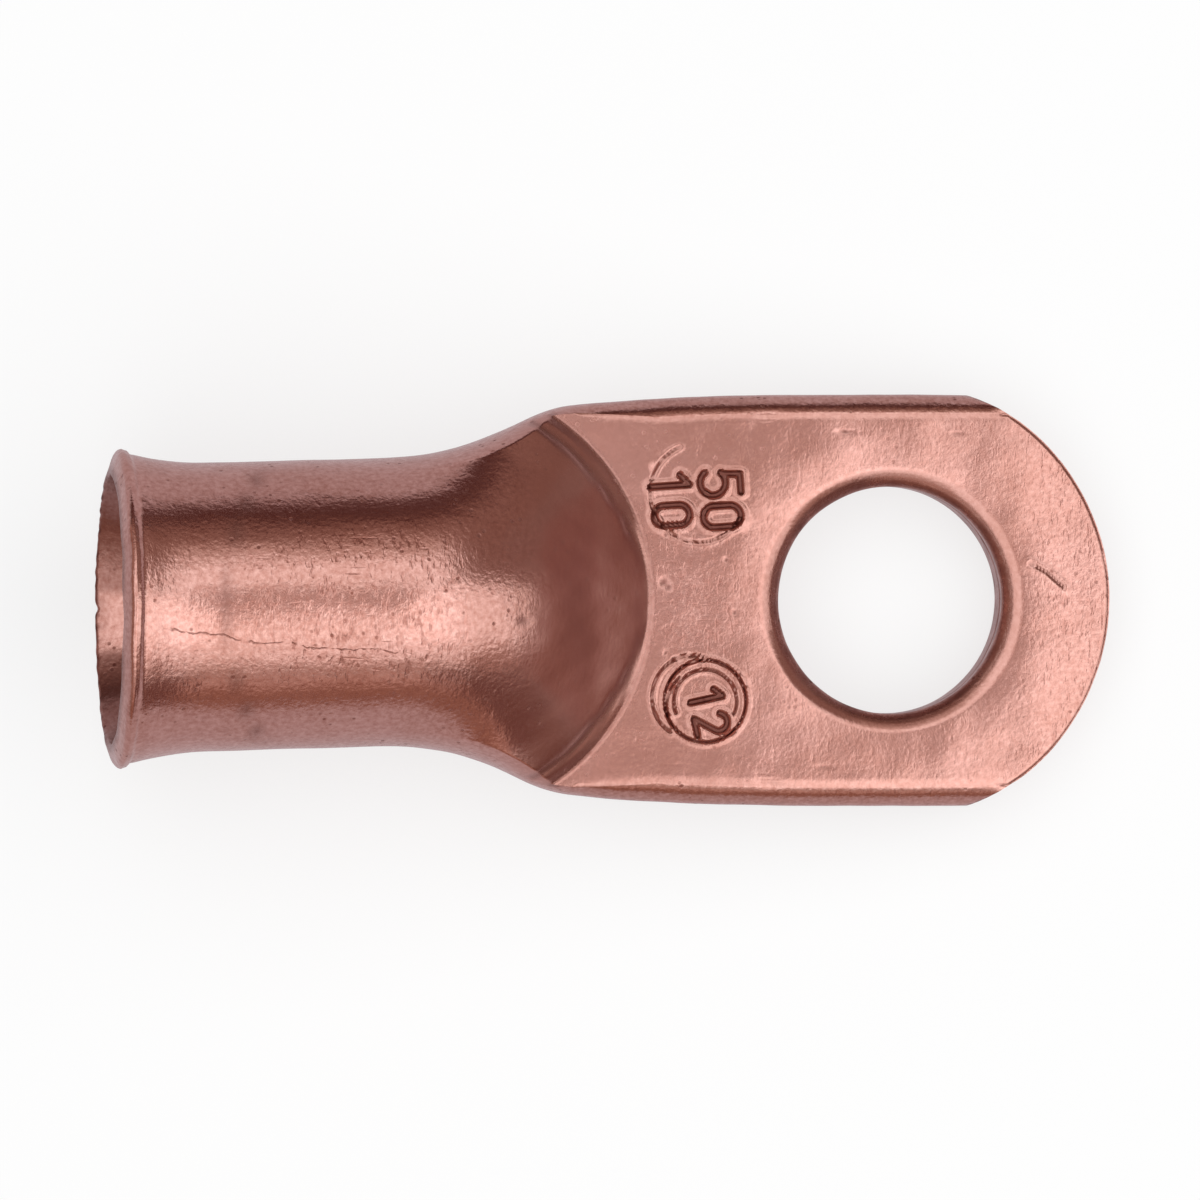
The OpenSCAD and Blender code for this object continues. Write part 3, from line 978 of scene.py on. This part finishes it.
def white_table():
    """Matt white paper. Two thirds of what the camera and reflections see of it is its own even
    white, so that it stays white with a soft shadow. It is no lamp, as the cards aren't."""
    material = bpy.data.materials.new("white_table")
    material.use_nodes = True
    material.cycles.emission_sampling = "NONE"
    tree = material.node_tree
    paper = tree.nodes["Principled BSDF"]
    paper.inputs["Base Color"].default_value = linear("#F8F8F8")
    paper.inputs["Roughness"].default_value = 0.9
    path = add(tree, "ShaderNodeLightPath").outputs
    seen = path["Is Camera Ray"]
    for kind in ("Is Glossy Ray", "Is Transmission Ray"):
        either = {0: seen, 1: path[kind]}
        seen = add(tree, "ShaderNodeMath", either, operation="MAXIMUM").outputs[0]
    share = {0: seen, 1: OWN_WHITE}
    share = add(tree, "ShaderNodeMath", share, operation="MULTIPLY").outputs[0]
    white = add(tree, "ShaderNodeEmission", {"Color": linear("#FFFFFF"), "Strength": 1.0})
    both = add(tree, "ShaderNodeMixShader", {0: share, 1: paper.outputs[0], 2: white.outputs[0]})
    tree.links.new(both.outputs[0], tree.nodes["Material Output"].inputs["Surface"])
    return material


def glow(name, hex_colour, strength=1.0):
    """A card that shows only as its own even colour. Reflections find it, and it isn't
    searched for as a lamp, which would only take time."""
    material = bpy.data.materials.new(name)
    material.use_nodes = True
    material.cycles.emission_sampling = "NONE"
    tree = material.node_tree
    tree.nodes.clear()
    lit = add(tree, "ShaderNodeEmission", {"Color": linear(hex_colour), "Strength": strength})
    add(tree, "ShaderNodeOutputMaterial", {"Surface": lit.outputs[0]})
    return material


# ---------------------------------------------------------------- the object
def new_object(name, mesh, material):
    """Object at the origin with a mesh and its one material."""
    made = bpy.data.objects.new(name, mesh)
    bpy.context.scene.collection.objects.link(made)
    mesh.materials.append(material)
    return made


lug = new_object("lug", lug_mesh(), tumbled_copper())
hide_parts("cable_lug")
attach(lug, "root")

# ---------------------------------------------------------------- stage, light and camera
# The lug lies on the floor on its belly, where the press begins, and on the far end of its
# palm. So the floor runs through the palm's low end, as steeply as the tube's points allow.
skin = np.empty(len(lug.data.vertices) * 3)
lug.data.vertices.foreach_get("co", skin)
skin = skin.reshape(-1, 3) / MM
tube = skin[skin[:, 0] < CREASE_X]
floor_tilt = np.degrees(np.arctan(np.max(-tube[:, 2] / (END_R - tube[:, 0]))))
floor_along = np.array([cos(floor_tilt), 0, sin(floor_tilt)])
floor_up = np.array([-sin(floor_tilt), 0, cos(floor_tilt)])
palm_low = np.array([END_R, 0, 0])
under_lug = palm_low - floor_along * (END_R - MOUTH_X) / 2
FLOOR_REACH = 3000


def card(name, centre, along, across, material):
    """Flat rectangle about a centre, spanned by two half sides, all in millimetres."""
    centre, along, across = (np.array(v, float) for v in (centre, along, across))
    turns = ((-1, -1), (1, -1), (1, 1), (-1, 1))
    corners = np.array([centre + i * along + j * across for i, j in turns])
    mesh = bpy.data.meshes.new(name)
    mesh.from_pydata((corners * MM).tolist(), [], [[0, 1, 2, 3]])
    made = new_object(name, mesh, material)
    return made


card("floor", under_lug, floor_along * FLOOR_REACH, [0, FLOOR_REACH, 0], white_table())

# A softbox fills the ceiling. Bright metal shows what stands round it, so cards are set up
# for it to mirror, which only reflections see: copper-brown ones on all four sides, darker
# below and lighter above, a grey one on the table, and on the ceiling the dim gaps that the
# camera looks through, brighter lamps beside them, and soft edges all round.
SOFTBOX_X = (-600, 900)
SOFTBOX_Y = (-680, 610)
SOFTBOX_Z = 500
SOFTBOX_GLOW = 1.08
LAMP_GLOW = 1.9
WORLD_GLOW = 0.3

# Where the side cards stand, and the heights at which they start, change colour and end
ROOM_X = (-680, 980)
ROOM_Y = (-720, 640)
CARDS_Z = low[2] - 12
SIDE_TIER_Z = 260
END_TIER_Z = 330
CARDS_TOP_Z = 480
FAR_TOP_Z = 520
# The ceiling's cards hang just under the softbox
CEILING_Z = 495
CEILING = (CEILING_Z, CEILING_Z)
TABLE_CARD_REACH = (700, 640)
TABLE_CARD_LIFT = 0.02


def mirror_card(name, centre, along, across, material):
    """Card that only reflections see."""
    shade = card(name, centre, along, across, material)
    shade.visible_camera = False
    shade.visible_diffuse = False
    shade.visible_shadow = False
    shade.visible_transmission = False


# Name, the spans in X, Y and Z, of which one has no width, colour and strength
for name, x, y, z, colour, strength in (
    ("card_mouth_end", [ROOM_X[0]] * 2, ROOM_Y, (CARDS_Z, CARDS_TOP_Z), "#B08F83", 1),
    ("card_far_low", SOFTBOX_X, [ROOM_Y[1]] * 2, (CARDS_Z, SIDE_TIER_Z), "#55302B", 1),
    ("card_far_high", SOFTBOX_X, [ROOM_Y[1]] * 2, (SIDE_TIER_Z, FAR_TOP_Z), "#93756A", 1),
    ("card_near_low", (-600, 240), [ROOM_Y[0]] * 2, (CARDS_Z, SIDE_TIER_Z), "#9F7764", 1),
    ("card_near_high", (-600, 240), [ROOM_Y[0]] * 2, (SIDE_TIER_Z, CARDS_TOP_Z), "#D6BBB0", 1),
    ("card_near_corner", (240, 900), [ROOM_Y[0]] * 2, (CARDS_Z, CARDS_TOP_Z), "#6E453B", 1),
    ("card_end_low", [ROOM_X[1]] * 2, ROOM_Y, (CARDS_Z, END_TIER_Z), "#612B23", 1),
    ("card_end_high", [ROOM_X[1]] * 2, ROOM_Y, (END_TIER_Z, CARDS_TOP_Z), "#9A6E63", 1),
    ("barrel_gap", (-75, 20), (-130, 98), CEILING, "#E8D5D0", 1),
    ("palm_gap", (20, 74), (-55, 130), CEILING, "#86645B", 1),
    ("palm_gap_far", (74, 100), (5, 130), CEILING, "#B09189", 1),
    ("lamp_middle", (74, 250), (-300, -4), CEILING, "#FFFFFF", LAMP_GLOW),
    ("lamp_middle_near", (50, 74), (-300, -55), CEILING, "#FFFFFF", LAMP_GLOW),
    ("lamp_middle_far", (112, 250), (-4, 50), CEILING, "#FFFFFF", LAMP_GLOW),
    ("lamp_far_edge", (-600, 250), (380, 610), CEILING, "#DDCDC5", 1),
    ("lamp_near_edge", (-600, 250), (-680, -500), CEILING, "#DDCDC5", 1),
    ("lamp_far_corner", (250, 900), (120, 610), CEILING, "#8A6A5F", 1),
    ("lamp_near_corner", (320, 900), (-680, -360), CEILING, "#B09083", 1),
):
    # The card spans the two directions in which its corners differ
    near_corner, far_corner = np.array([x, y, z], float).T
    spans = [s for s in np.diag(far_corner - near_corner) / 2 if s.any()]
    mirror_card(name, (near_corner + far_corner) / 2, *spans, glow(name, colour, strength))
mirror_card(
    "table_card",
    under_lug + TABLE_CARD_LIFT * floor_up,
    floor_along * TABLE_CARD_REACH[0],
    [0, TABLE_CARD_REACH[1], 0],
    glow("table_grey", "#CDC5CA"),
)


def softbox(name, x, y, z, brightness):
    """Rectangular lamp between two X and two Y that shines down with an even brightness."""
    lamp = bpy.data.lights.new(name, "AREA")
    lamp.shape = "RECTANGLE"
    lamp.size, lamp.size_y = (x[1] - x[0]) * MM, (y[1] - y[0]) * MM
    lamp.energy = brightness * np.pi * lamp.size * lamp.size_y
    made = bpy.data.objects.new(name, lamp)
    bpy.context.scene.collection.objects.link(made)
    made.location = (sum(x) / 2 * MM, sum(y) / 2 * MM, z * MM)
    made.visible_camera = False


softbox("softbox", SOFTBOX_X, SOFTBOX_Y, SOFTBOX_Z, SOFTBOX_GLOW)

world = bpy.data.worlds.new("studio")
world.use_nodes = True
world.node_tree.nodes["Background"].inputs["Color"].default_value = linear("#FFFFFF")
world.node_tree.nodes["Background"].inputs["Strength"].default_value = WORLD_GLOW
bpy.context.scene.world = world

# The camera looks down on the lug, leaning a little to the mouth, at a point just short of
# the lug's middle, which is a share of the way from the mouth to the rounded end
CAMERA_LEAN = 8.0
CAMERA_AWAY = 600
VIEW_WIDTH = 57.05
VIEW_SHARE = 0.491
view_centre = Vector((lerp(MOUTH_X, END_R, VIEW_SHARE), 0, AXIS_Z))
to_camera = Vector((-sin(CAMERA_LEAN), 0, cos(CAMERA_LEAN)))
sight = bpy.data.cameras.new("camera")
sight.sensor_width = 36
sight.lens = sight.sensor_width * CAMERA_AWAY / VIEW_WIDTH
sight.clip_start = 0.01
camera = bpy.data.objects.new("camera", sight)
bpy.context.scene.collection.objects.link(camera)
camera.location = (view_centre + to_camera * CAMERA_AWAY) * MM
camera.rotation_euler = (0, -np.radians(CAMERA_LEAN), 0)
bpy.context.scene.camera = camera

bpy.context.scene.view_settings.view_transform = "Standard"
